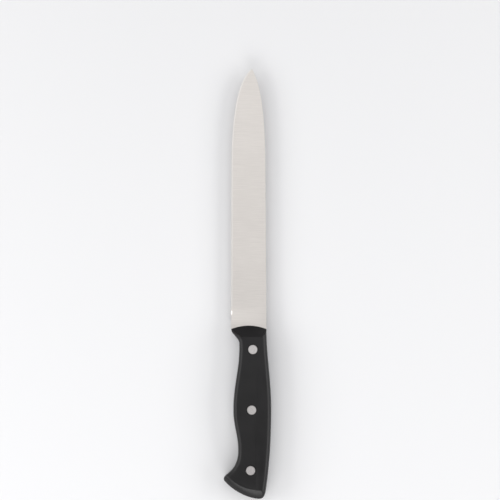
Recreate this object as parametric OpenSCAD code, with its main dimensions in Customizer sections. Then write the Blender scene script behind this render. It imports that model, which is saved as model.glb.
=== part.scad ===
// Carving knife with a full tang, two moulded scales and three cutler's rivets.
// It lies on its right side, with +Y towards the tip, +X towards the spine and +Z up.
// Every piece is drawn about the tang's mid-plane, with x and y at 0 where the blade's
// centre line meets the handle, and is then moved to the middle of the knife's box.

/* [Blade outline] */
// Length from the handle to the tip
blade_len = 200; // [150:1:250]
// Width where the blade meets the handle
heel_w = 27.2; // [25:0.1:30]
// How far the cutting edge leans in before the point begins
edge_lean = 0.3; // [0:0.1:2]
// How far the spine leans in before the point begins
spine_lean = 0.8; // [0:0.1:3]
// Length over which the edge and the spine curve into the tip
point_len = 73; // [55:1:110]
// Distance from the blade's centre line to the tip
tip_x = 2.4; // [0:0.1:5]
// Angle between the blade's line and its edge at the tip
tip_edge_angle = 54; // [35:1:60]
// Angle between the blade's line and its spine at the tip
tip_spine_angle = 30; // [20:1:40]
// How far the edge keeps its direction from the tip
edge_pull = 15.5; // [8:0.5:18]
// How far the spine keeps its direction from the tip
spine_pull = 13; // [6:0.5:16]
// How far the straight edge runs on into the point
edge_blend = 29.5; // [20:0.5:40]
// How far the straight spine runs on into the point
spine_blend = 41; // [20:0.5:45]

/* [Blade section] */
// Thickness of the steel at the tang and the heel
steel_t = 2; // [1.6:0.1:3]
// Thickness of the spine where the point begins
fore_t = 1.4; // [1:0.1:1.6]
// Thickness of the spine at the tip
tip_t = 0.7; // [0.5:0.1:0.9]
// Thickness just behind the sharpened bevel
edge_t = 0.4; // [0.2:0.05:0.5]
// Width of the sharpened bevel
bevel_w = 1; // [0.5:0.1:2]
// Full-thickness steel left ahead of the handle
ricasso = 2.6; // [2:0.1:6]
// Length over which the grind runs out towards the handle
grind_fade = 14; // [3:0.5:15]

/* [Handle outline] */
// Length of the handle
handle_len = 131.8; // [125:0.1:150]
// Distance behind the heel to the front corners
front_at = 0.8; // [0.5:0.1:2]
// Rise of the curved front edge over the blade
front_rise = 2.6; // [1:0.1:2.8]
// Distance behind the heel to the start of the finger notch
notch_at = 11.8; // [10:0.1:13]
// Length of the notch's straight bottom
notch_len = 4.2; // [1:0.1:8]
// Distance from the centre line to the notch
notch_x = 7.35; // [6:0.05:9]
// Distance behind the heel to the start of the palm swell
swell_at = 61; // [45:1:62]
// Length of the swell's straight crest
swell_len = 4; // [2:0.5:12]
// Distance from the centre line to the swell
swell_x = 11.9; // [10:0.1:15]
// Distance from the butt to the waist ahead of the hook
waist_back = 38.4; // [34:0.1:45]
// Distance from the centre line to the waist
waist_x = 8.2; // [7:0.1:10]
// Distance from the butt to the start of the hook's corner
hook_back = 18.9; // [15:0.1:22]
// Distance from the centre line to the start of the hook's corner
hook_x = 17.1; // [15:0.1:20]
// Outward lean of the outline at the hook
hook_slope = 1.3; // [0.8:0.05:1.6]
// Angle of the butt at the hook
butt_angle = 48.5; // [35:0.5:55]
// How far the butt keeps its direction from the hook
butt_hook_pull = 13.5; // [8:0.5:16]
// How far the butt keeps its direction from the back
butt_back_pull = 5; // [3:0.5:12]
// Distance behind the heel to the highest point of the back
back_at = 61; // [40:1:75]
// Distance from the centre line to the highest point of the back
back_x = 17.3; // [15:0.05:20]
// Distance from the centre line to the start of the back's corner
heel_x = 13.05; // [12:0.05:15]
// Inward lean of the back at its corner
back_slope = 0.15; // [0:0.05:0.3]

/* [Handle section] */
// Thickness of one scale
scale_t = 8; // [6:0.1:10]
// Thickness of the scale's lip on the blade
lip_t = 0.7; // [0.4:0.1:1.5]
// Distance behind the heel to the end of the front ramp
ramp_end = 7; // [5:0.1:9]
// Width of the rounding on the belly side
belly_round = 3.5; // [2:0.1:4.5]
// Width of the rounding on the back
back_round = 4; // [2:0.1:5]
// Depth of the rounding on both long sides
round_drop = 4; // [2:0.1:5]
// Width of the butt's bevel at the hook
butt_hook_w = 4.6; // [3:0.1:6]
// Width of the butt's bevel at the back
butt_back_w = 6; // [4:0.1:8]
// Depth of the butt's bevel
butt_drop = 4.6; // [2:0.1:5]
// Roundness of the butt's bevel, from flat to a full quarter
butt_roundness = 0.3; // [0:0.05:1]
// How much less the flat face's butt edge turns than the butt
ridge_turn = 6; // [0:0.5:12]
// Rounding left on the corners of the flat face
face_corner = 0.6; // [0.3:0.1:1]

/* [Rivets] */
// Distance behind the heel to the front rivet
rivet_at = 16.6; // [14:0.1:20]
// Distance from one rivet to the next
rivet_pitch = 46.7; // [40:0.1:48]
// Distance from the centre line to the front rivet
rivet_front_x = 3.1; // [1:0.1:4]
// Distance from the centre line to the rear rivet
rivet_rear_x = 1.4; // [0:0.1:3]
// Diameter of the rivet heads
head_d = 7.2; // [6.5:0.1:8]
// Thickness of the rivet heads
head_t = 1.6; // [1:0.1:2.5]
// Outer diameter of a rivet's hollow half
tube_d = 5; // [4:0.1:6]
// Diameter of a rivet's solid shank
shank_d = 3.2; // [2:0.1:3.5]
// Room at the end of a tube and of a shank
end_gap = 0.5; // [0.3:0.1:2]
// Room around a head in its counterbore
head_gap = 0.05; // [0.02:0.01:0.15]
// Room around a tube in its hole
tube_gap = 0.1; // [0.05:0.01:0.3]
// Room around a shank in its tube
shank_gap = 0.02; // [0.01:0.01:0.05]

/* [Hidden] */
$fn = 64;
steel_colour = "#d9d5d1";
scale_colour = "#2a282b";
rivet_colour = "#b9b5b4";
// Steps along each long side, the butt, each corner and the front of the handle
side_steps = 46;
butt_steps = 14;
corner_steps = 7;
front_steps = 12;
// Steps from a wall's top to the flat face
round_steps = 6;
// Steps along the blade's point and its grind's run-out
point_steps = 22;
fade_steps = 6;
// Step over which a curve's direction is read
slope_step = 0.05;
// Least step between neighbouring points along the flat face
face_step = 0.04;
// Largest share of the blade's width that the bevel takes near the tip
bevel_share = 0.35;
// How far a cut runs past the surface that it opens
past = 1;

half_t = steel_t / 2;
half_w = heel_w / 2;
side_z = half_t + scale_t;
seat_z = side_z - head_t;

function mix(a, b, t) = a + (b - a) * t;
function soft(t) = t * t * (3 - 2 * t);
function unit(v) = v / norm(v);
function heading(angle) = [cos(angle), sin(angle)];
function bend(a, b, c, t) = mix(mix(a, b, t), mix(b, c, t), t);
function bezier(a, b, c, d, t) = mix(bend(a, b, c, t), bend(b, c, d, t), t);

// A smooth side through keys, each with its distance behind the heel, its x and its slope
function between(a, b, d) =
    let (run = b[0] - a[0], t = (d - a[0]) / run)
    mix(a[1], b[1], soft(t)) + run * t * (1 - t) * (a[2] * (1 - t) - b[2] * t);
function side_x(keys, d, k = 0) =
    k == len(keys) - 2 || d <= keys[k + 1][0]
        ? between(keys[k], keys[k + 1], d)
        : side_x(keys, d, k + 1);
function side_slope(keys, d) =
    (side_x(keys, d + slope_step / 2) - side_x(keys, d - slope_step / 2)) / slope_step;
function side_point(keys, d) = [side_x(keys, d), -d];

// The point of the flat face that belongs to a point of a side; w is positive to the right.
// Ahead of the ramp's end all of them gather at the face's front corner.
function face_point(keys, d, w, i) =
    let (
        inset = side_point(keys, d) + w * unit([1, side_slope(keys, d)]),
        front = ramp_end + i * face_step
    )
    -inset[1] > front
        ? inset
        : [side_x(keys, front) + w * norm([1, side_slope(keys, front)]), -front];

belly_keys = [
    [front_at, -half_w, 0],
    [notch_at, -notch_x, 0],
    [notch_at + notch_len, -notch_x, 0],
    [swell_at, -swell_x, 0],
    [swell_at + swell_len, -swell_x, 0],
    [handle_len - waist_back, -waist_x, 0],
    [handle_len - hook_back, -hook_x, -hook_slope]
];
hook_at = handle_len - hook_back;
hook_dir = unit([-hook_slope, -1]);
back_dir = unit([-back_slope, -1]);
heel_at = handle_len + butt_back_w * back_dir[1];
back_keys = [
    [front_at, half_w, 0],
    [back_at, back_x, 0],
    [heel_at, heel_x, -back_slope]
];

// The butt's own curve lies between the corners at the hook and at the back
hook_end = side_point(belly_keys, hook_at);
hook_corner = hook_end + butt_hook_w * hook_dir;
back_end = side_point(back_keys, heel_at);
back_corner = back_end + butt_back_w * back_dir;
butt_start = hook_corner + belly_round * heading(-butt_angle);
butt_end = back_corner - [back_round, 0];
function butt_point(t) = bezier(
    butt_start, butt_start + butt_hook_pull * heading(-butt_angle),
    butt_end - [butt_back_pull, 0], butt_end, t);

// The flat face's edge along the butt
face_hook = face_point(belly_keys, hook_at, belly_round, 0);
face_back = face_point(back_keys, heel_at, -back_round, 0);
ridge_start = face_hook + face_corner * heading(ridge_turn - butt_angle);
ridge_end = face_back + face_corner * heading(180 - ridge_turn);
function ridge_point(t) = bezier(
    ridge_start, ridge_start + butt_hook_pull * heading(ridge_turn - butt_angle),
    ridge_end + butt_back_pull * heading(180 - ridge_turn), ridge_end, t);

// Each rim point holds a point of the outline, its point of the flat face, the height of
// the wall there and the roundness of the surface between them
full_wall = scale_t - round_drop;
butt_wall = scale_t - butt_drop;
function side_rim(keys, d, w, i) =
    let (
        rise = (d - front_at) / (ramp_end - front_at),
        wall = min(full_wall, mix(lip_t, scale_t, rise))
    )
    [side_point(keys, d), face_point(keys, d, w, i), wall, (wall - lip_t) / (full_wall - lip_t)];
function corner_rim(outer, inner, t) = [
    outer, inner, mix(full_wall, butt_wall, soft(t)), mix(1, butt_roundness, soft(t))];
belly_rim = [for (i = [0 : side_steps - 1])
    side_rim(belly_keys, mix(front_at, hook_at, i / side_steps), belly_round, i)];
back_rim = [for (i = [0 : side_steps - 1])
    side_rim(back_keys, mix(front_at, heel_at, i / side_steps), -back_round, i)];
face_hook_end = face_hook - face_corner * hook_dir;
face_back_end = face_back - face_corner * back_dir;
hook_rim = [for (i = [0 : corner_steps - 1]) let (t = i / corner_steps) corner_rim(
    bend(hook_end, hook_corner, butt_start, t),
    bend(face_hook_end, face_hook, ridge_start, t), t)];
heel_rim = [for (i = [0 : corner_steps - 1]) let (t = i / corner_steps) corner_rim(
    bend(back_end, back_corner, butt_end, t),
    bend(face_back_end, face_back, ridge_end, t), t)];
butt_rim = [for (i = [0 : butt_steps]) let (t = i / butt_steps)
    [butt_point(t), ridge_point(t), butt_wall, butt_roundness]];
front_rim = [for (i = [1 : front_steps - 1]) let (t = i / front_steps) [
    [mix(half_w, -half_w, t), front_rise * 4 * t * (1 - t) - front_at],
    mix(back_rim[0][1], belly_rim[0][1], t), lip_t, 0]];
function reversed(list) = [for (i = [len(list) - 1 : -1 : 0]) list[i]];
side_rims = concat(belly_rim, hook_rim, butt_rim, reversed(heel_rim), reversed(back_rim));
rim = concat(side_rims, front_rim);
outline = [for (r = side_rims) r[0]];

blade_tip = [tip_x, blade_len];
box_x = (min([for (p = outline) p[0]]) + max([for (p = outline) p[0]])) / 2;
box_y = (min([for (p = outline) p[1]]) + blade_len) / 2;

// Moves a piece from the tang's frame to the knife's own, on the surface that it rests on
module placed() {
    translate([-box_x, -box_y, side_z]) children();
}

// Faces between rings of the same number of points, each ring beyond the last
function skin(rings, count) = [
    for (r = [0 : rings - 2], i = [0 : count - 1])
        let (a = r * count + i, b = r * count + (i + 1) % count)
        each [[a, b, b + count], [a, b + count, a + count]]
];

fore_y = blade_len - point_len;
fore_edge = [edge_lean - half_w, fore_y];
fore_spine = [half_w - spine_lean, fore_y];
edge_dir = unit(fore_edge - [-half_w, ricasso]);
spine_dir = unit(fore_spine - [half_w, ricasso]);
function edge_point(t) = bezier(
    fore_edge, fore_edge + edge_blend * edge_dir,
    blade_tip - edge_pull * heading(90 - tip_edge_angle), blade_tip, t);
function spine_point(t) = bezier(
    fore_spine, fore_spine + spine_blend * spine_dir,
    blade_tip - spine_pull * heading(90 + tip_spine_angle), blade_tip, t);

// The five corners of the blade's section, from its edge, spine and direction there
function section(edge, spine, dir, spine_t, behind_t, bevel) =
    let (shoulder = edge + min(bevel, bevel_share * norm(spine - edge)) * [dir[1], -dir[0]])
    [
        [spine[0], spine[1], spine_t / 2],
        [shoulder[0], shoulder[1], behind_t / 2],
        [edge[0], edge[1], 0],
        [shoulder[0], shoulder[1], -behind_t / 2],
        [spine[0], spine[1], -spine_t / 2]
    ];
function heel_section(t) =
    let (
        ground = soft(t),
        along = grind_fade * t / (fore_y - ricasso)
    )
    section(mix([-half_w, ricasso], fore_edge, along), mix([half_w, ricasso], fore_spine, along),
        edge_dir, mix(steel_t, fore_t, along), mix(steel_t, edge_t, ground), bevel_w * ground);
function point_section(t) =
    section(edge_point(t), spine_point(t),
        unit(edge_point(t + slope_step) - edge_point(t - slope_step)),
        mix(fore_t, tip_t, t), edge_t, bevel_w);

module ground_blade() {
    sections = concat(
        [for (i = [0 : fade_steps]) heel_section(i / fade_steps)],
        [for (i = [0 : point_steps - 1]) point_section(i / point_steps)]
    );
    corners = len(sections[0]);
    last = corners * (len(sections) - 1);
    tip = last + corners;
    polyhedron(
        points = concat([for (s = sections) each s], [[blade_tip[0], blade_tip[1], 0]]),
        faces = concat(
            [for (i = [1 : corners - 2]) [0, i + 1, i]],
            skin(len(sections), corners),
            [for (i = [0 : corners - 1]) [last + i, last + (i + 1) % corners, tip]]
        )
    );
}

// The middle of each rivet, from the front to the rear
rivets = [for (i = [0 : 2]) [
    mix(rivet_front_x, rivet_rear_x, i / 2), -rivet_at - i * rivet_pitch]];

module blade() {
    color(steel_colour) placed() difference() {
        union() {
            ground_blade();
            translate([0, 0, -half_t]) linear_extrude(steel_t)
                polygon(concat([[-half_w, ricasso]], outline, [[half_w, ricasso]]));
        }
        for (r = rivets) translate([r[0], r[1], -half_t - past])
            cylinder(h = steel_t + 2 * past, d = tube_d + 2 * tube_gap);
    }
}

// One scale, from its flat back at z = 0 up to its flat face
module scale_body() {
    count = len(rim);
    rings = round_steps + 2;
    top = count * (rings - 1);
    far = len(side_rims) - 1;
    points = concat(
        [for (r = rim) [r[0][0], r[0][1], 0]],
        [for (k = [0 : round_steps], r = rim) let (
            t = k / round_steps,
            p = mix(r[0], r[1], mix(t, 1 - cos(90 * t), r[3]))
        ) [p[0], p[1], mix(r[2], scale_t, mix(t, sin(90 * t), r[3]))]]
    );
    // Triangles across the flat back and, turned over, across the flat face
    across = concat(
        [for (i = [1 : side_steps - 1]) each [[i, i + 1, far - i - 1], [i, far - i - 1, far - i]]],
        [for (i = [side_steps + 1 : far - side_steps - 1]) [side_steps, i, i + 1]],
        [[1, far - 1, far]],
        [for (i = [far : count - 1]) [1, i, (i + 1) % count]]
    );
    polyhedron(
        points = points,
        faces = concat(
            across,
            [for (f = skin(rings, count)) [f[0], f[2], f[1]]],
            [for (f = across) [top + f[0], top + f[2], top + f[1]]]
        )
    );
}

module drilled_scale() {
    difference() {
        translate([0, 0, half_t]) scale_body();
        for (r = rivets) translate([r[0], r[1], 0]) {
            cylinder(h = side_z + past, d = tube_d + 2 * tube_gap);
            translate([0, 0, seat_z]) cylinder(h = head_t + past, d = head_d + 2 * head_gap);
        }
    }
}

module left_scale() {
    color(scale_colour) placed() drilled_scale();
}

module right_scale() {
    color(scale_colour) placed() mirror([0, 0, 1]) drilled_scale();
}

// The solid half of a rivet, whose head shows on the left side
module rivet_shank(i) {
    color(rivet_colour) placed() translate([rivets[i][0], rivets[i][1], 0]) {
        translate([0, 0, seat_z]) cylinder(h = head_t, d = head_d);
        translate([0, 0, end_gap - seat_z]) cylinder(h = 2 * seat_z - end_gap, d = shank_d);
    }
}

// The hollow half of a rivet, whose head shows on the right side
module rivet_tube(i) {
    color(rivet_colour) placed() translate([rivets[i][0], rivets[i][1], 0]) difference() {
        union() {
            translate([0, 0, -side_z]) cylinder(h = head_t, d = head_d);
            translate([0, 0, -seat_z]) cylinder(h = 2 * seat_z - end_gap, d = tube_d);
        }
        translate([0, 0, -seat_z]) cylinder(h = 2 * seat_z, d = shank_d + 2 * shank_gap);
    }
}

blade();
left_scale();
right_scale();
rivet_shank(0);  // front_rivet_shank
rivet_shank(1);  // middle_rivet_shank
rivet_shank(2);  // rear_rivet_shank
rivet_tube(0);  // front_rivet_tube
rivet_tube(1);  // middle_rivet_tube
rivet_tube(2);  // rear_rivet_tube
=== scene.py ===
import math

import bmesh
import bpy
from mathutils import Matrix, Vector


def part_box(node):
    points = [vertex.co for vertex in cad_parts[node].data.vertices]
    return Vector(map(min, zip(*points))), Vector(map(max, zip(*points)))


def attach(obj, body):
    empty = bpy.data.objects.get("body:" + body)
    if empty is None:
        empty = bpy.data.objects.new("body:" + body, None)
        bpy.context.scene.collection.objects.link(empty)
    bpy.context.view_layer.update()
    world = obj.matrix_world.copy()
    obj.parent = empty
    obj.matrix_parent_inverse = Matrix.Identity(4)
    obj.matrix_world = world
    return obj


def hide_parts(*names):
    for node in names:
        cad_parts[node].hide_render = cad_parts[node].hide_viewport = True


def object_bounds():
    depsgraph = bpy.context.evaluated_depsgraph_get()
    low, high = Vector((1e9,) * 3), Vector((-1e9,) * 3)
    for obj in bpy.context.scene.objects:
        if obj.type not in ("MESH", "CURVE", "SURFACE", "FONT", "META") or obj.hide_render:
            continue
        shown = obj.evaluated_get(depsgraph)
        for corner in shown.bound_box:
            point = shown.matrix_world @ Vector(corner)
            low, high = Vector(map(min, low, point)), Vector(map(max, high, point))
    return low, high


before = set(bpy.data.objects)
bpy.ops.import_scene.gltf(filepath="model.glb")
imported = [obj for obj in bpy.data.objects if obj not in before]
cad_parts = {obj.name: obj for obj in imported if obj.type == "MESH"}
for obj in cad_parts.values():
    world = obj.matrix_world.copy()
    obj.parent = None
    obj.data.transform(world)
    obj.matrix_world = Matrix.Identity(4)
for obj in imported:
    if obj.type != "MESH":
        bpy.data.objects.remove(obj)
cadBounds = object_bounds()
mm = 0.001


# Points and curves in the plane of the blade

def mix(a, b, t):
    if isinstance(a, tuple):
        return tuple(x + (y - x) * t for x, y in zip(a, b))
    return a + (b - a) * t


def soft(t):
    return t * t * (3 - 2 * t)  # from 0 to 1, level at both ends


def arch(t):
    return 4 * t * (1 - t)  # 0 at both ends, 1 in the middle


def add(a, b, k=1.0):
    return tuple(x + y * k for x, y in zip(a, b))


def unit(v):
    size = math.hypot(*v)
    return tuple(x / size for x in v)


def heading(degrees):
    return (math.cos(math.radians(degrees)), math.sin(math.radians(degrees)))


def bend(a, b, c, t):
    return mix(mix(a, b, t), mix(b, c, t), t)


def bezier(a, b, c, d, t):
    return mix(bend(a, b, c, t), bend(b, c, d, t), t)


# Finishes. Marks are the sizes in mm of one mark of the grit along x, y and z, smooth and rough
# are the ends of the roughness, and depth is the relief's in mm.

groundSteel = {
    "markDetail": 3.0, "markRoughness": 0.6, "cloudsPerMetre": 45.0, "cloudDetail": 2.0,
    "cloudShare": 0.25, "band": (0.25, 0.75), "depth": 0.02,
}
steelFinishes = {
    # Satin ground across the blade on a belt: soft streaks from the edge to the spine. They are
    # really under 0.05 mm apart, and are drawn as coarse as they need to show.
    "blade": {"name": "satinGroundBladeSteel", "light": "#e9e4df", "dark": "#dcd7d2",
              "smooth": 0.28, "rough": 0.42, "marks": (21.0, 0.35, 0.35), "bump": 0.25},
    # The bevel, sharpened on a finer stone: short marks, also drawn coarser than they are
    "bevel": {"name": "stonedBevelSteel", "light": "#ece8e4", "dark": "#dfdbd7",
              "smooth": 0.28, "rough": 0.42, "marks": (1.44, 0.12, 0.12), "bump": 0.15},
    # Rivet heads ground flush with the scales, in fine marks along the handle: greyer and even
    "rivet": {"name": "flushGroundRivetSteel", "light": "#dedad8", "dark": "#c8c4c3",
              "smooth": 0.24, "rough": 0.38, "marks": (0.024, 0.3, 0.3), "bump": 0.3},
    # The tang's rim, linished together with the scales: duller than the blade's sides
    "tang": {"name": "linishedTangSteel", "light": "#c4c0bc", "dark": "#aeaaa6",
             "smooth": 0.3, "rough": 0.44, "marks": (0.024, 0.3, 0.3), "bump": 0.3},
}
# Black acetal from a spark-eroded mould: deep black with a low sheen, which wear clouds a
# little, over a fine grain that is drawn coarser than it is
acetal = {
    "name": "mouldedBlackAcetal", "light": "#111011", "dark": "#0c0b0c",
    "smooth": 0.36, "rough": 0.44, "band": (0.3, 0.7), "bump": 0.35, "depth": 0.03,
    "grainSize": 0.45, "grainDetail": 2.0, "grainRoughness": 0.55, "wearPerMetre": 60.0,
    "wearDetail": 4.0, "ior": 1.48, "specular": 0.42,
}
colourBand = (0.3, 0.7)  # the part of a pattern's range over which the colour changes


def linear(hexColour):
    channels = [int(hexColour[i:i + 2], 16) / 255 for i in (1, 3, 5)]
    return [c / 12.92 if c <= 0.04045 else ((c + 0.055) / 1.055) ** 2.4 for c in channels] + [1.0]


def addNode(tree, kind, settings=None, inputs=None):
    made = tree.nodes.new(kind)
    for key, value in (settings or {}).items():
        setattr(made, key, value)
    for key, value in (inputs or {}).items():
        if isinstance(value, bpy.types.NodeSocket):
            tree.links.new(value, made.inputs[key])
        else:
            made.inputs[key].default_value = value
    return made


def startMaterial(name):
    material = bpy.data.materials.new(name)
    material.use_nodes = True
    tree = material.node_tree
    return material, tree, addNode(tree, "ShaderNodeTexCoord").outputs["Object"]


def finishSurface(tree, finish, colourBy, roughBy, reliefBy):
    # Colour, roughness and relief each follow a pattern of the surface
    colour = addNode(tree, "ShaderNodeValToRGB", inputs={"Fac": colourBy})
    stops = zip(colour.color_ramp.elements, colourBand, (finish["dark"], finish["light"]))
    for stop, position, hexColour in stops:
        stop.position = position
        stop.color = linear(hexColour)
    rough = addNode(tree, "ShaderNodeMapRange", inputs={
        "Value": roughBy, "From Min": finish["band"][0], "From Max": finish["band"][1],
        "To Min": finish["smooth"], "To Max": finish["rough"]})
    relief = addNode(tree, "ShaderNodeBump", inputs={
        "Height": reliefBy, "Strength": finish["bump"], "Distance": finish["depth"] * mm})
    shader = tree.nodes["Principled BSDF"]
    tree.links.new(colour.outputs["Color"], shader.inputs["Base Color"])
    tree.links.new(rough.outputs["Result"], shader.inputs["Roughness"])
    tree.links.new(relief.outputs["Normal"], shader.inputs["Normal"])
    return shader


def satinSteel(ownFinish):
    # Stainless steel: a soft, wide reflection broken by the grit's marks
    finish = {**groundSteel, **ownFinish}
    material, tree, place = startMaterial(finish["name"])
    stretched = addNode(tree, "ShaderNodeMapping", inputs={
        "Vector": place, "Scale": tuple(1 / (size * mm) for size in finish["marks"])})
    marks = addNode(tree, "ShaderNodeTexNoise", inputs={
        "Vector": stretched.outputs["Vector"], "Scale": 1.0, "Detail": finish["markDetail"],
        "Roughness": finish["markRoughness"]}).outputs["Fac"]
    clouds = addNode(tree, "ShaderNodeTexNoise", inputs={
        "Vector": place, "Scale": finish["cloudsPerMetre"],
        "Detail": finish["cloudDetail"]}).outputs["Fac"]
    faint = addNode(tree, "ShaderNodeMath", {"operation": "MULTIPLY"}, {
        0: clouds, 1: finish["cloudShare"]}).outputs[0]
    blended = addNode(tree, "ShaderNodeMath", {"operation": "MULTIPLY_ADD"}, {
        0: marks, 1: 1 - finish["cloudShare"], 2: faint}).outputs[0]
    shader = finishSurface(tree, finish, blended, marks, marks)
    shader.inputs["Metallic"].default_value = 1.0
    return material


def mouldedAcetal():
    material, tree, place = startMaterial(acetal["name"])
    grain = addNode(tree, "ShaderNodeTexNoise", inputs={
        "Vector": place, "Scale": 1 / (acetal["grainSize"] * mm), "Detail": acetal["grainDetail"],
        "Roughness": acetal["grainRoughness"]}).outputs["Fac"]
    wear = addNode(tree, "ShaderNodeTexNoise", inputs={
        "Vector": place, "Scale": acetal["wearPerMetre"],
        "Detail": acetal["wearDetail"]}).outputs["Fac"]
    shader = finishSurface(tree, acetal, wear, wear, grain)
    shader.inputs["IOR"].default_value = acetal["ior"]
    shader.inputs["Specular IOR Level"].default_value = acetal["specular"]
    return material


bladeSteel = satinSteel(steelFinishes["blade"])
bevelSteel = satinSteel(steelFinishes["bevel"])
rivetSteel = satinSteel(steelFinishes["rivet"])
tangSteel = satinSteel(steelFinishes["tang"])
blackScale = mouldedAcetal()
print("materials made")


# The pieces' sizes are in mm about the tang: y is 0 where the handle begins and grows towards
# the tip, x grows towards the spine and z is 0 in the middle of the steel. Angles are degrees.

frontRivetPlace = (3.1, -16.6)  # x and y, which tell where the tang's zero lies in the frame


def middleOf(node):
    low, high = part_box(node)
    return tuple((a + b) / 2 for a, b in zip(low, high))


rivetCentres = [middleOf(end + "_rivet_shank")[:2] for end in ("front", "middle", "rear")]
zeroX = rivetCentres[0][0] / mm - frontRivetPlace[0]
zeroY = rivetCentres[0][1] / mm - frontRivetPlace[1]
zeroZ = middleOf("blade")[2] / mm


def addObject(name, data):
    made = bpy.data.objects.new(name, data)
    bpy.context.scene.collection.objects.link(made)
    return made


def makeObject(name, points, faces, materials, faceMaterials=None):
    mesh = bpy.data.meshes.new(name)
    placed = [((x + zeroX) * mm, (y + zeroY) * mm, (z + zeroZ) * mm) for x, y, z in points]
    mesh.from_pydata(placed, [], faces)
    for material in materials:
        mesh.materials.append(material)
    if faceMaterials:
        mesh.polygons.foreach_set("material_index", faceMaterials)
    shape = bmesh.new()
    shape.from_mesh(mesh)
    bmesh.ops.recalc_face_normals(shape, faces=shape.faces)
    shape.to_mesh(mesh)
    shape.free()
    return addObject(name, mesh)


def evaluatedMesh(piece):
    graph = bpy.context.evaluated_depsgraph_get()
    return bpy.data.meshes.new_from_object(piece.evaluated_get(graph), depsgraph=graph)


def ringFaces(ringCount, size):
    # Four-sided faces between closed rings that follow one another in the list of points
    faces = []
    for r in range(ringCount - 1):
        for i in range(size):
            a = r * size + i
            b = r * size + (i + 1) % size
            faces.append([a, b, b + size, a + size])
    return faces


def settle(piece, nodes, sharpAngle):
    piece.data.shade_smooth()
    piece.data.set_sharp_from_angle(angle=math.radians(sharpAngle))
    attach(piece, "root")
    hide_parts(*nodes)


# Blade and tang: one piece of steel, taper ground, with a sharpened bevel

blade = {
    # Outline: the edge and the spine lean in a little up to where the point begins
    "length": 200.0, "heelWidth": 27.2, "edgeLean": 0.3, "spineLean": 0.8, "pointLength": 73.0,
    # Point: a blend is how far the straight side runs on into it, a pull how far the edge or
    # the spine keeps its direction from the tip
    "tipX": 2.4, "tipEdgeAngle": 54.0, "tipSpineAngle": 30.0, "edgePull": 15.5, "spinePull": 13.0,
    "edgeBlend": 29.5, "spineBlend": 41.0,
    # Thickness at the tang, where the point begins, at the tip and just behind the bevel
    "steel": 2.0, "foreSteel": 1.4, "tipSteel": 0.7, "behindEdge": 0.4,
    # Full-thickness heel, the grind's run-out ahead of it, and the bevel's width
    "ricasso": 2.6, "grindFade": 14.0, "bevel": 1.0, "bevelOfWidth": 0.35,
    # The spine's broken corners, with their limits near the tip
    "spineBreak": 0.12, "breakOfThickness": 0.25, "breakOfWidth": 0.2,
    # Mesh steps, and how much they close up at both ends of the point
    "fadeSteps": 14, "straightSteps": 24, "pointSteps": 70, "acrossSteps": 8,
    "pointEasing": 0.3, "slopeStep": 0.01, "sharpAngle": 9,
}
bladeMaterials = [bladeSteel, bevelSteel, tangSteel]
onSide, onBevel, onTangRim = range(len(bladeMaterials))  # places in that list
halfWidth = blade["heelWidth"] / 2
halfSteel = blade["steel"] / 2
foreY = blade["length"] - blade["pointLength"]
foreEdge = (blade["edgeLean"] - halfWidth, foreY)
foreSpine = (halfWidth - blade["spineLean"], foreY)
heelEdge = (-halfWidth, blade["ricasso"])
heelSpine = (halfWidth, blade["ricasso"])
bladeTip = (blade["tipX"], blade["length"])
edgeDir = unit(add(foreEdge, heelEdge, -1))
spineDir = unit(add(foreSpine, heelSpine, -1))


def edgePoint(t):
    pull = add(bladeTip, heading(90 - blade["tipEdgeAngle"]), -blade["edgePull"])
    return bezier(foreEdge, add(foreEdge, edgeDir, blade["edgeBlend"]), pull, bladeTip, t)


def spinePoint(t):
    pull = add(bladeTip, heading(90 + blade["tipSpineAngle"]), -blade["spinePull"])
    return bezier(foreSpine, add(foreSpine, spineDir, blade["spineBlend"]), pull, bladeTip, t)


def bladeSection(edge, spine, direction, spineThick, behindEdge, bevel):
    # Down the left side, from the spine over its broken corner to the edge, and up the right
    width = math.hypot(*add(spine, edge, -1))
    bevelWidth = min(bevel, blade["bevelOfWidth"] * width)
    shoulder = add(edge, (direction[1], -direction[0]), bevelWidth)
    corner = min(blade["spineBreak"], blade["breakOfThickness"] * spineThick,
                 blade["breakOfWidth"] * width)
    row = [(spine[0], spine[1], spineThick / 2 - corner)]
    start = add(spine, unit(add(edge, spine, -1)), corner)
    startZ = mix(spineThick / 2, behindEdge / 2, corner / width)
    for i in range(blade["acrossSteps"] + 1):
        t = i / blade["acrossSteps"]
        x, y = mix(start, shoulder, t)
        row.append((x, y, mix(startZ, behindEdge / 2, t)))
    under = [(x, y, -z) for x, y, z in reversed(row)]
    return row + [(edge[0], edge[1], 0.0)] + under


def heelSections():
    # The grind grows over its run-out, and is full from there to where the point begins
    sections = []
    fadeShare = blade["grindFade"] / (foreY - blade["ricasso"])
    for i in range(blade["fadeSteps"] + blade["straightSteps"]):
        grown = min(1.0, i / blade["fadeSteps"])
        beyond = max(0.0, (i - blade["fadeSteps"]) / blade["straightSteps"])
        along = mix(fadeShare * grown, 1.0, beyond)
        ground = soft(grown)
        sections.append(bladeSection(
            mix(heelEdge, foreEdge, along), mix(heelSpine, foreSpine, along), edgeDir,
            mix(blade["steel"], blade["foreSteel"], along),
            mix(blade["steel"], blade["behindEdge"], ground), blade["bevel"] * ground))
    return sections


def pointSections():
    sections = []
    step = blade["slopeStep"]
    for i in range(blade["pointSteps"]):
        even = i / blade["pointSteps"]
        t = mix(even, soft(even), blade["pointEasing"])
        direction = unit(add(edgePoint(t + step), edgePoint(t - step), -1))
        sections.append(bladeSection(edgePoint(t), spinePoint(t), direction,
                                     mix(blade["foreSteel"], blade["tipSteel"], t),
                                     blade["behindEdge"], blade["bevel"]))
    return sections


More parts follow.
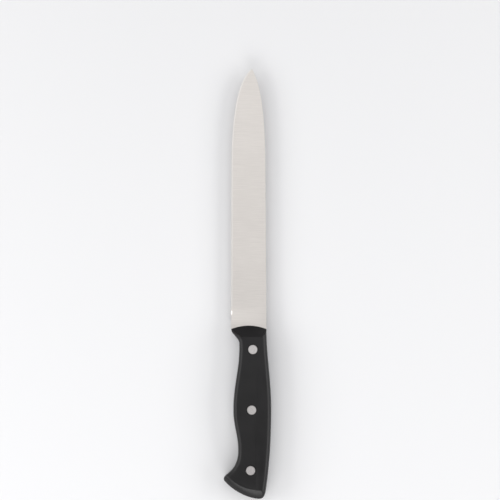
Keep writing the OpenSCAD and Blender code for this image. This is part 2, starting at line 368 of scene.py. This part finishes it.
def makeBlade(name, tangOutline, node):
    sections = heelSections() + pointSections()
    count = len(sections[0])
    edgeIndex = count // 2
    points = [p for section in sections for p in section]
    faces = ringFaces(len(sections), count)
    parts = [onSide] * len(faces)
    for r in range(blade["fadeSteps"], len(sections) - 1):
        for i in (edgeIndex - 1, edgeIndex):
            parts[r * count + i] = onBevel
    tip = len(points)
    last = tip - count
    points.append((bladeTip[0], bladeTip[1], 0.0))
    faces += [[last + i, last + (i + 1) % count, tip] for i in range(count)]
    parts += [onSide] * count

    # The tang fills the handle's whole outline, its two sides run on into the blade's heel, and
    # a short rim closes the heel at the edge and at the spine
    size = len(tangOutline)
    top = len(points)
    low = top + size
    points += [(x, y, halfSteel) for x, y in tangOutline]
    points += [(x, y, -halfSteel) for x, y in tangOutline]
    sides = [list(range(1, edgeIndex)) + list(range(top, low)),
             list(range(edgeIndex + 1, count - 1)) + list(range(low + size - 1, low - 1, -1))]
    heelRims = [[edgeIndex - 1, edgeIndex, edgeIndex + 1, low, top],
                [low - 1, low + size - 1, count - 2, count - 1, 0, 1]]
    tangRim = [[top + i, top + i + 1, low + i + 1, low + i] for i in range(size - 1)]
    faces += sides + heelRims + tangRim
    parts += [onSide] * len(sides + heelRims) + [onTangRim] * len(tangRim)
    piece = makeObject(name, points, faces, bladeMaterials, parts)
    settle(piece, [node], blade["sharpAngle"])


# Scales: the outline and the flat face follow the same rules as the solid's

handle = {
    # Outline: At is a distance behind the blade, FromButt one from the butt, X one from the
    # tang's middle line
    "length": 131.8, "frontAt": 0.8, "frontRise": 2.6, "notchAt": 11.8, "notchLength": 4.2,
    "notchX": 7.35, "swellAt": 61.0, "swellLength": 4.0, "swellX": 11.9, "waistFromButt": 38.4,
    "waistX": 8.2, "hookFromButt": 18.9, "hookX": 17.1, "hookSlope": 1.3, "backAt": 61.0,
    "backX": 17.3, "heelX": 13.05, "backSlope": 0.15,
    # Butt: its angle at the hook, and how far it keeps its direction from each corner
    "buttAngle": 48.5, "buttHookPull": 13.5, "buttBackPull": 5.0,
    # Section: one scale's thickness, its thin lip with the ramp behind it, and its roundings
    "scale": 8.0, "lip": 0.7, "rampEnd": 7.0, "bellyRound": 3.5, "backRound": 4.0,
    "roundDrop": 4.0,
    # The butt's bevel, and the flat face's edge and corners beside it
    "buttHookWidth": 4.6, "buttBackWidth": 6.0, "buttDrop": 4.6, "buttRoundness": 0.3,
    "ridgeTurn": 6.0, "faceCorner": 0.6,
    # Mesh steps
    "sideSteps": 120, "buttSteps": 30, "cornerSteps": 14, "frontSteps": 26, "roundSteps": 12,
    "slopeStep": 0.05, "faceStep": 0.015, "sharpAngle": 24,
}
hookAt = handle["length"] - handle["hookFromButt"]
hookDir = unit((-handle["hookSlope"], -1.0))
backDir = unit((-handle["backSlope"], -1.0))
heelAt = handle["length"] + handle["buttBackWidth"] * backDir[1]
towardsHook = (-1.0, 0.0)
fullWall = handle["scale"] - handle["roundDrop"]
buttWall = handle["scale"] - handle["buttDrop"]

# Keys of each long side: distance behind the blade, x and slope
bellyKeys = [
    (handle["frontAt"], -halfWidth, 0),
    (handle["notchAt"], -handle["notchX"], 0),
    (handle["notchAt"] + handle["notchLength"], -handle["notchX"], 0),
    (handle["swellAt"], -handle["swellX"], 0),
    (handle["swellAt"] + handle["swellLength"], -handle["swellX"], 0),
    (handle["length"] - handle["waistFromButt"], -handle["waistX"], 0),
    (hookAt, -handle["hookX"], -handle["hookSlope"]),
]
backKeys = [
    (handle["frontAt"], halfWidth, 0),
    (handle["backAt"], handle["backX"], 0),
    (heelAt, handle["heelX"], -handle["backSlope"]),
]


def between(a, b, d):
    run = b[0] - a[0]
    t = (d - a[0]) / run
    return mix(a[1], b[1], soft(t)) + run * t * (1 - t) * (a[2] * (1 - t) - b[2] * t)


def sideX(keys, d):
    k = 0
    while k < len(keys) - 2 and d > keys[k + 1][0]:
        k += 1
    return between(keys[k], keys[k + 1], d)


def sideSlope(keys, d):
    step = handle["slopeStep"]
    return (sideX(keys, d + step / 2) - sideX(keys, d - step / 2)) / step


def sidePoint(keys, d):
    return (sideX(keys, d), -d)


def facePoint(keys, d, inset, i):
    # Points that would lie ahead of the ramp's end gather at the flat face's front corner
    direct = add(sidePoint(keys, d), unit((1.0, sideSlope(keys, d))), inset)
    front = handle["rampEnd"] + i * handle["faceStep"]
    if -direct[1] > front:
        return direct
    return (sideX(keys, front) + inset * math.hypot(1, sideSlope(keys, front)), -front)


# A rim point holds the outline's point, the flat face's point, the wall's height there and
# the roundness of the surface between them

def sideRim(keys, end, inset):
    rim = []
    for i in range(handle["sideSteps"]):
        d = mix(handle["frontAt"], end, i / handle["sideSteps"])
        rise = (d - handle["frontAt"]) / (handle["rampEnd"] - handle["frontAt"])
        wall = min(fullWall, mix(handle["lip"], handle["scale"], rise))
        roundness = (wall - handle["lip"]) / (fullWall - handle["lip"])
        rim.append((sidePoint(keys, d), facePoint(keys, d, inset, i), wall, roundness))
    return rim


def cornerRim(outer, inner):
    rim = []
    for i in range(handle["cornerSteps"]):
        t = i / handle["cornerSteps"]
        rim.append((bend(*outer, t), bend(*inner, t), mix(fullWall, buttWall, soft(t)),
                    mix(1.0, handle["buttRoundness"], soft(t))))
    return rim


def buttCurve(start, startAngle, end, endDir, t):
    return bezier(start, add(start, heading(startAngle), handle["buttHookPull"]),
                  add(end, endDir, handle["buttBackPull"]), end, t)


def frontRim(backStart, bellyStart):
    rim = []
    for i in range(1, handle["frontSteps"]):
        t = i / handle["frontSteps"]
        y = handle["frontRise"] * arch(t) - handle["frontAt"]
        rim.append(((mix(halfWidth, -halfWidth, t), y), mix(backStart[1], bellyStart[1], t),
                    handle["lip"], 0.0))
    return rim


def handleRims():
    hookEnd = sidePoint(bellyKeys, hookAt)
    hookCorner = add(hookEnd, hookDir, handle["buttHookWidth"])
    backEnd = sidePoint(backKeys, heelAt)
    backCorner = add(backEnd, backDir, handle["buttBackWidth"])
    buttStart = add(hookCorner, heading(-handle["buttAngle"]), handle["bellyRound"])
    buttEnd = add(backCorner, towardsHook, handle["backRound"])

    corner = handle["faceCorner"]
    ridgeAngle = handle["ridgeTurn"] - handle["buttAngle"]
    ridgeEndDir = heading(180 - handle["ridgeTurn"])
    faceHook = facePoint(bellyKeys, hookAt, handle["bellyRound"], 0)
    faceBack = facePoint(backKeys, heelAt, -handle["backRound"], 0)
    ridgeStart = add(faceHook, heading(ridgeAngle), corner)
    ridgeEnd = add(faceBack, ridgeEndDir, corner)

    butt = []
    for i in range(handle["buttSteps"] + 1):
        t = i / handle["buttSteps"]
        butt.append((buttCurve(buttStart, -handle["buttAngle"], buttEnd, towardsHook, t),
                     buttCurve(ridgeStart, ridgeAngle, ridgeEnd, ridgeEndDir, t),
                     buttWall, handle["buttRoundness"]))
    hook = cornerRim((hookEnd, hookCorner, buttStart),
                     (add(faceHook, hookDir, -corner), faceHook, ridgeStart))
    heel = cornerRim((backEnd, backCorner, buttEnd),
                     (add(faceBack, backDir, -corner), faceBack, ridgeEnd))
    belly = sideRim(bellyKeys, hookAt, handle["bellyRound"])
    back = sideRim(backKeys, heelAt, -handle["backRound"])
    sides = belly + hook + butt + heel[::-1] + back[::-1]
    return sides, sides + frontRim(back[0], belly[0])


def scaleRings(wholeRim, side):
    # Rings from the steel up the wall, round the edge and onto the flat face
    rings = [[(outer[0], outer[1], side * halfSteel) for outer, inner, wall, roundness in wholeRim]]
    for k in range(handle["roundSteps"] + 1):
        t = k / handle["roundSteps"]
        inward = 1 - math.cos(math.pi / 2 * t)
        upward = math.sin(math.pi / 2 * t)
        ring = []
        for outer, inner, wall, roundness in wholeRim:
            x, y = mix(outer, inner, mix(t, inward, roundness))
            height = mix(wall, handle["scale"], mix(t, upward, roundness))
            ring.append((x, y, side * (halfSteel + height)))
        rings.append(ring)
    return rings


def cutCounterbores(piece, side):
    # The seats of the rivet heads: half of each cutter stands out of the flat face
    faceZ = (zeroZ + side * (halfSteel + handle["scale"])) * mm
    cutters = []
    for x, y in rivetCentres:
        bpy.ops.mesh.primitive_cylinder_add(
            vertices=rivet["turnSteps"], radius=(rivet["headWidth"] / 2 + rivet["seatRoom"]) * mm,
            depth=2 * rivet["headDepth"] * mm, location=(x, y, faceZ))
        cutters.append(bpy.context.object)
    for cutter in cutters:
        cut = piece.modifiers.new("counterbore", "BOOLEAN")
        cut.object = cutter
        cut.operation = "DIFFERENCE"
        cut.solver = "EXACT"
    finished = evaluatedMesh(piece)
    piece.modifiers.clear()
    piece.data = finished
    for cutter in cutters:
        bpy.data.objects.remove(cutter, do_unlink=True)


def makeScale(name, wholeRim, side, node):
    rings = scaleRings(wholeRim, side)
    count = len(wholeRim)
    lastRing = (len(rings) - 1) * count
    points = [p for ring in rings for p in ring]
    faces = [list(range(count)), list(range(lastRing, lastRing + count))]
    faces += ringFaces(len(rings), count)
    piece = makeObject(name, points, faces, [blackScale])
    cutCounterbores(piece, side)
    settle(piece, [node], handle["sharpAngle"])


# Rivets: one turned half, set out by a node tree along the handle and on both of its sides

rivet = {
    "headWidth": 7.2, "headDepth": 1.6, "shankWidth": 5.0, "rimBreak": 0.2,
    "seatRoom": 0.05,  # around a head in its counterbore
    "faceRing": 0.5,  # a ring in the head's face, as a share of its radius
    "turnSteps": 72, "sharpAngle": 24,
}


def rivetHalf():
    radius = rivet["headWidth"] / 2
    shank = rivet["shankWidth"] / 2
    top = halfSteel + handle["scale"]
    seat = top - rivet["headDepth"]
    profile = [(radius * rivet["faceRing"], top), (radius - rivet["rimBreak"], top),
               (radius, top - rivet["rimBreak"]), (radius, seat), (shank, seat), (shank, 0.0)]
    turn = rivet["turnSteps"]
    points = [(0.0, 0.0, top * mm)]
    for r, z in profile:
        for i in range(turn):
            angle = 2 * math.pi * i / turn
            points.append((r * math.cos(angle) * mm, r * math.sin(angle) * mm, z * mm))
    points.append((0.0, 0.0, 0.0))
    faces = []
    end = len(points) - 1
    lastRing = end - turn
    for i in range(turn):
        j = (i + 1) % turn
        faces.append([0, 1 + i, 1 + j])
        faces.append([end, lastRing + j, lastRing + i])
        for k in range(len(profile) - 1):
            a = 1 + k * turn
            faces.append([a + i, a + turn + i, a + turn + j, a + j])
    mesh = bpy.data.meshes.new("rivetHalf")
    mesh.from_pydata(points, [], faces)
    mesh.materials.append(rivetSteel)
    return addObject("rivetHalf", mesh)


def rivetTree():
    tree = bpy.data.node_groups.new("rivetRow", "GeometryNodeTree")
    sockets = {"Half": "Object", "First": "Vector", "Pitch": "Vector", "Count": "Int",
               "Finish": "Material"}
    for name, kind in sockets.items():
        tree.interface.new_socket(name, in_out="INPUT", socket_type="NodeSocket" + kind)
    tree.interface.new_socket("Geometry", in_out="OUTPUT", socket_type="NodeSocketGeometry")
    given = addNode(tree, "NodeGroupInput").outputs
    half = addNode(tree, "GeometryNodeObjectInfo", inputs={"Object": given["Half"]})
    row = addNode(tree, "GeometryNodeMeshLine", {"mode": "OFFSET"}, {
        "Count": given["Count"], "Start Location": given["First"], "Offset": given["Pitch"]})
    joined = addNode(tree, "GeometryNodeJoinGeometry")
    for turned in (0.0, math.pi):
        placed = addNode(tree, "GeometryNodeInstanceOnPoints", inputs={
            "Points": row.outputs["Mesh"], "Instance": half.outputs["Geometry"],
            "Rotation": (turned, 0.0, 0.0)})
        tree.links.new(placed.outputs["Instances"], joined.inputs["Geometry"])
    real = addNode(tree, "GeometryNodeRealizeInstances", inputs={
        "Geometry": joined.outputs["Geometry"]})
    finished = addNode(tree, "GeometryNodeSetMaterial", inputs={
        "Geometry": real.outputs["Geometry"], "Material": given["Finish"]})
    addNode(tree, "NodeGroupOutput", inputs={"Geometry": finished.outputs["Geometry"]})
    return tree


def makeRivets(name, nodes):
    half = rivetHalf()
    tree = rivetTree()
    holder = addObject("rivetHolder", bpy.data.meshes.new("rivetHolder"))
    row = holder.modifiers.new("rivetRow", "NODES")
    row.node_group = tree
    first, second = rivetCentres[:2]
    given = {"Half": half, "First": (first[0], first[1], zeroZ * mm),
             "Pitch": (second[0] - first[0], second[1] - first[1], 0.0),
             "Count": len(rivetCentres), "Finish": rivetSteel}
    for item in tree.interface.items_tree:
        if item.in_out == "INPUT":
            row[item.identifier] = given[item.name]
    piece = addObject(name, evaluatedMesh(holder))
    bpy.data.objects.remove(holder, do_unlink=True)
    bpy.data.objects.remove(half, do_unlink=True)
    settle(piece, nodes, rivet["sharpAngle"])


# The knife

sideRims, wholeRims = handleRims()
makeScale("leftScale", wholeRims, 1, "left_scale")
makeScale("rightScale", wholeRims, -1, "right_scale")
print("scales made")

makeBlade("bladeAndTang", [rim[0] for rim in sideRims], "blade")
print("blade made")

makeRivets("rivets", [end + "_rivet_" + part for end in ("front", "middle", "rear")
                      for part in ("shank", "tube")])
print("rivets made")


# Studio: a pale matte floor under a quiet world, a broad overhead light ahead of the tip, and
# low lights at both sides and behind the butt. Places and sizes here are in metres.

studio = {
    "floorColour": "#e2e2e3", "floorRoughness": 0.9, "floorSize": 6.0, "floorDrop": 0.05 * mm,
    "worldColour": "#f4f4f6", "worldStrength": 0.34,
}
lights = {
    "overhead": {"place": (-0.1, 0.66, 1.2), "aim": (-0.1, 0.66, 0.0), "size": (1.6, 1.6),
                 "watts": 5.5},
    "leftSide": {"place": (-1.0, 0.0, 0.6), "aim": (0.0, 0.0, 0.0), "size": (1.4, 0.6),
                 "watts": 7.0},
    "rightSide": {"place": (1.0, 0.0, 0.6), "aim": (0.0, 0.0, 0.0), "size": (1.4, 0.6),
                  "watts": 7.0},
    "buttSide": {"place": (-0.2, -1.1, 0.75), "aim": (0.0, 0.0, 0.0), "size": (1.4, 0.7),
                 "watts": 11.0},
}
# The picture's scale and middle on the knife in mm. The lens is long, so that both sides of
# the handle are seen straight from above.
view = {"pixelSize": 0.772, "pictureWidth": 500, "centreX": 1.94, "centreY": 26.1,
        "lens": 900.0, "sensor": 36.0}


def makeFloor():
    bpy.ops.mesh.primitive_plane_add(
        size=studio["floorSize"], location=(0.0, 0.0, cadBounds[0][2] - studio["floorDrop"]))
    floor = bpy.context.object
    floor.name = "floor"
    paint = bpy.data.materials.new("matteFloorPaint")
    paint.use_nodes = True
    shader = paint.node_tree.nodes["Principled BSDF"]
    shader.inputs["Base Color"].default_value = linear(studio["floorColour"])
    shader.inputs["Roughness"].default_value = studio["floorRoughness"]
    floor.data.materials.append(paint)


def makeWorld():
    world = bpy.data.worlds.new("studio")
    bpy.context.scene.world = world
    world.use_nodes = True
    background = world.node_tree.nodes["Background"]
    background.inputs["Color"].default_value = linear(studio["worldColour"])
    background.inputs["Strength"].default_value = studio["worldStrength"]


def makeLight(name, light):
    lamp = bpy.data.lights.new(name, "AREA")
    lamp.shape = "RECTANGLE"
    lamp.size, lamp.size_y = light["size"]
    lamp.energy = light["watts"]
    holder = addObject(name, lamp)
    holder.location = light["place"]
    x, y, z = add(light["aim"], light["place"], -1)
    holder.rotation_euler = (math.atan2(math.hypot(x, y), -z), 0.0, math.atan2(x, -y) + math.pi)


def makeCamera():
    lens = bpy.data.cameras.new("camera")
    lens.lens = view["lens"]
    lens.sensor_width = view["sensor"]
    camera = addObject("camera", lens)
    pictureWidth = view["pixelSize"] * view["pictureWidth"]
    height = zeroZ + pictureWidth * view["lens"] / view["sensor"]
    camera.location = (view["centreX"] * mm, view["centreY"] * mm, height * mm)
    bpy.context.scene.camera = camera


makeFloor()
makeWorld()
for name, light in lights.items():
    makeLight(name, light)
makeCamera()
bpy.context.scene.view_settings.view_transform = "Standard"
print("studio made")
